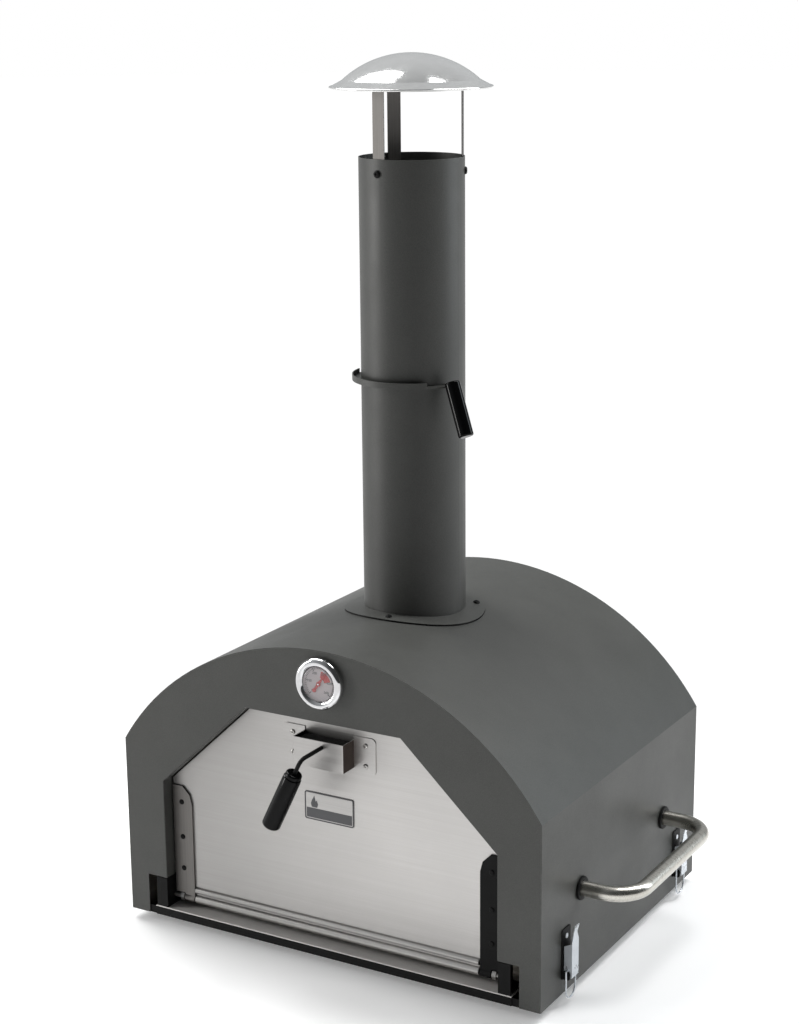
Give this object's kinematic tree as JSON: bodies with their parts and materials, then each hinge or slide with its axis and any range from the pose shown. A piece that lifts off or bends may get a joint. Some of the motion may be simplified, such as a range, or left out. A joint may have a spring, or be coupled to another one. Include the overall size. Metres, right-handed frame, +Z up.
{
  "type": "wood fired pizza oven",
  "caption": "Table-top wood fired pizza oven: arched casing, drop-down stainless door with latch and thermometer, tall flue with swing damper and rain cap, side handles and toggle latches.",
  "frame": {"origin": "on the floor under the middle of the overall footprint", "axes": "+Z up along the chimney, -Y towards the door, +X to the right as seen from the door"},
  "size_m": [0.861, 0.607, 1.269],
  "materials": {
    "casing_paint": "matt powder coat, charcoal grey",
    "black_steel": "satin black",
    "door_stainless": "brushed stainless",
    "liner_steel": "heat tinted steel",
    "blanket": "ceramic wool",
    "board": "insulating board",
    "stone": "cordierite stone, dull",
    "grate_iron": "bare steel rod",
    "handle_stainless": "satin stainless tube and strip",
    "cap_polish": "polished stainless",
    "gauge_chrome": "polished",
    "gauge_face": "printed dial",
    "gauge_needle": "red",
    "gauge_glass": "clear",
    "black_grip": "gloss black",
    "black_rod": "black",
    "badge": "pressed, part painted",
    "zinc": "bright zinc",
    "steel_fastener": "plain steel",
    "black_fastener": "black oxide",
    "foot_rubber": "moulded rubber"
  },
  "bodies": {
    "casing": {"outer_shell": "casing_paint", "front_fascia": "casing_paint", "back_panel": "casing_paint", "chimney_flange": "casing_paint", "chimney_pipe": "casing_paint", "damper_bracket": "casing_paint", "base_pan": "black_steel", "hinge_brackets": "black_steel", "handle_washers": "black_steel", "damper_pin": "black_steel", "latch_bases": "black_steel", "sill_plate": "door_stainless", "inner_liner": "liner_steel", "back_liner": "liner_steel", "flue_collar": "liner_steel", "stone_tray": "liner_steel", "ember_guard": "liner_steel", "insulation_blanket": "blanket", "hearth_board": "board", "pizza_stones": "stone", "fire_grate": "grate_iron", "side_handle_left": "handle_stainless", "side_handle_right": "handle_stainless", "handle_inserts": "handle_stainless", "cap_legs": "handle_stainless", "cap_dome": "cap_polish", "thermometer_bezel": "gauge_chrome", "thermometer_stem": "gauge_chrome", "thermometer_nut": "gauge_chrome", "thermometer_dial": "gauge_face", "thermometer_glass": "gauge_glass", "latch_rivets": "zinc", "handle_bolts": "steel_fastener", "hinge_pins": "steel_fastener", "flange_screws": "black_fastener", "cap_screws": "black_fastener", "back_screws": "black_fastener", "feet": "foot_rubber"},
    "door": {"door_panel": "door_stainless", "door_strap_left": "black_steel", "door_strap_right": "black_steel", "strap_rivets": "steel_fastener", "handle_bracket": "door_stainless", "bracket_screws": "steel_fastener", "nameplate": "badge"},
    "latch": {"latch_rod": "black_rod", "latch_grip": "black_grip", "latch_cam": "liner_steel"},
    "damper": {"damper_plate": "casing_paint", "damper_rod": "black_rod", "damper_grip": "black_grip"},
    "needle": {"thermometer_needle": "gauge_needle"},
    "lever_right_front": {"latch_lever_right_front": "zinc"},
    "bail_right_front": {"latch_bail_right_front": "zinc"},
    "lever_right_back": {"latch_lever_right_back": "zinc"},
    "bail_right_back": {"latch_bail_right_back": "zinc"},
    "lever_left_front": {"latch_lever_left_front": "zinc"},
    "bail_left_front": {"latch_bail_left_front": "zinc"},
    "lever_left_back": {"latch_lever_left_back": "zinc"},
    "bail_left_back": {"latch_bail_left_back": "zinc"}
  },
  "joints": [
    {"name": "door_hinge", "type": "hinge", "parent": "casing", "child": "door", "pos_m": [0, -0.206, 0.043], "axis": [1, 0, 0], "range_deg": [0, 72]},
    {"name": "latch_turn", "type": "hinge", "parent": "door", "child": "latch", "pos_m": [0.006, -0.207, 0.337], "axis": [0, -1, 0], "range_deg": [0, 90]},
    {"name": "damper_swing", "type": "hinge", "parent": "casing", "child": "damper", "pos_m": [-0.07603, 0.06672, 0.8115], "axis": [0, 0, -1], "range_deg": [0, 60]},
    {"name": "needle_turn", "type": "hinge", "parent": "casing", "child": "needle", "pos_m": [0.002, -0.235, 0.429], "axis": [0, 1, 0], "range_deg": [-170, 100]},
    {"name": "lever_right_front", "type": "hinge", "parent": "casing", "child": "lever_right_front", "pos_m": [0.3515, -0.154, 0.045], "axis": [0, 1, 0], "range_deg": [0, 90]},
    {"name": "bail_right_front", "type": "hinge", "parent": "lever_right_front", "child": "bail_right_front", "pos_m": [0.351, -0.154, 0.053], "axis": [0, -1, 0], "range_deg": [0, 90]},
    {"name": "lever_right_back", "type": "hinge", "parent": "casing", "child": "lever_right_back", "pos_m": [0.3515, 0.231, 0.045], "axis": [0, 1, 0], "range_deg": [0, 90]},
    {"name": "bail_right_back", "type": "hinge", "parent": "lever_right_back", "child": "bail_right_back", "pos_m": [0.351, 0.231, 0.053], "axis": [0, -1, 0], "range_deg": [0, 90]},
    {"name": "lever_left_front", "type": "hinge", "parent": "casing", "child": "lever_left_front", "pos_m": [-0.3515, -0.154, 0.045], "axis": [0, -1, 0], "range_deg": [0, 90]},
    {"name": "bail_left_front", "type": "hinge", "parent": "lever_left_front", "child": "bail_left_front", "pos_m": [-0.351, -0.154, 0.053], "axis": [0, 1, 0], "range_deg": [0, 90]},
    {"name": "lever_left_back", "type": "hinge", "parent": "casing", "child": "lever_left_back", "pos_m": [-0.3515, 0.231, 0.045], "axis": [0, -1, 0], "range_deg": [0, 90]},
    {"name": "bail_left_back", "type": "hinge", "parent": "lever_left_back", "child": "bail_left_back", "pos_m": [-0.351, 0.231, 0.053], "axis": [0, 1, 0], "range_deg": [0, 90]}
  ],
  "couplings": [
    {"joint": "bail_right_front", "follows": "lever_right_front", "ratio": 1},
    {"joint": "bail_right_back", "follows": "lever_right_back", "ratio": 1},
    {"joint": "bail_left_front", "follows": "lever_left_front", "ratio": 1},
    {"joint": "bail_left_back", "follows": "lever_left_back", "ratio": 1}
  ]
}
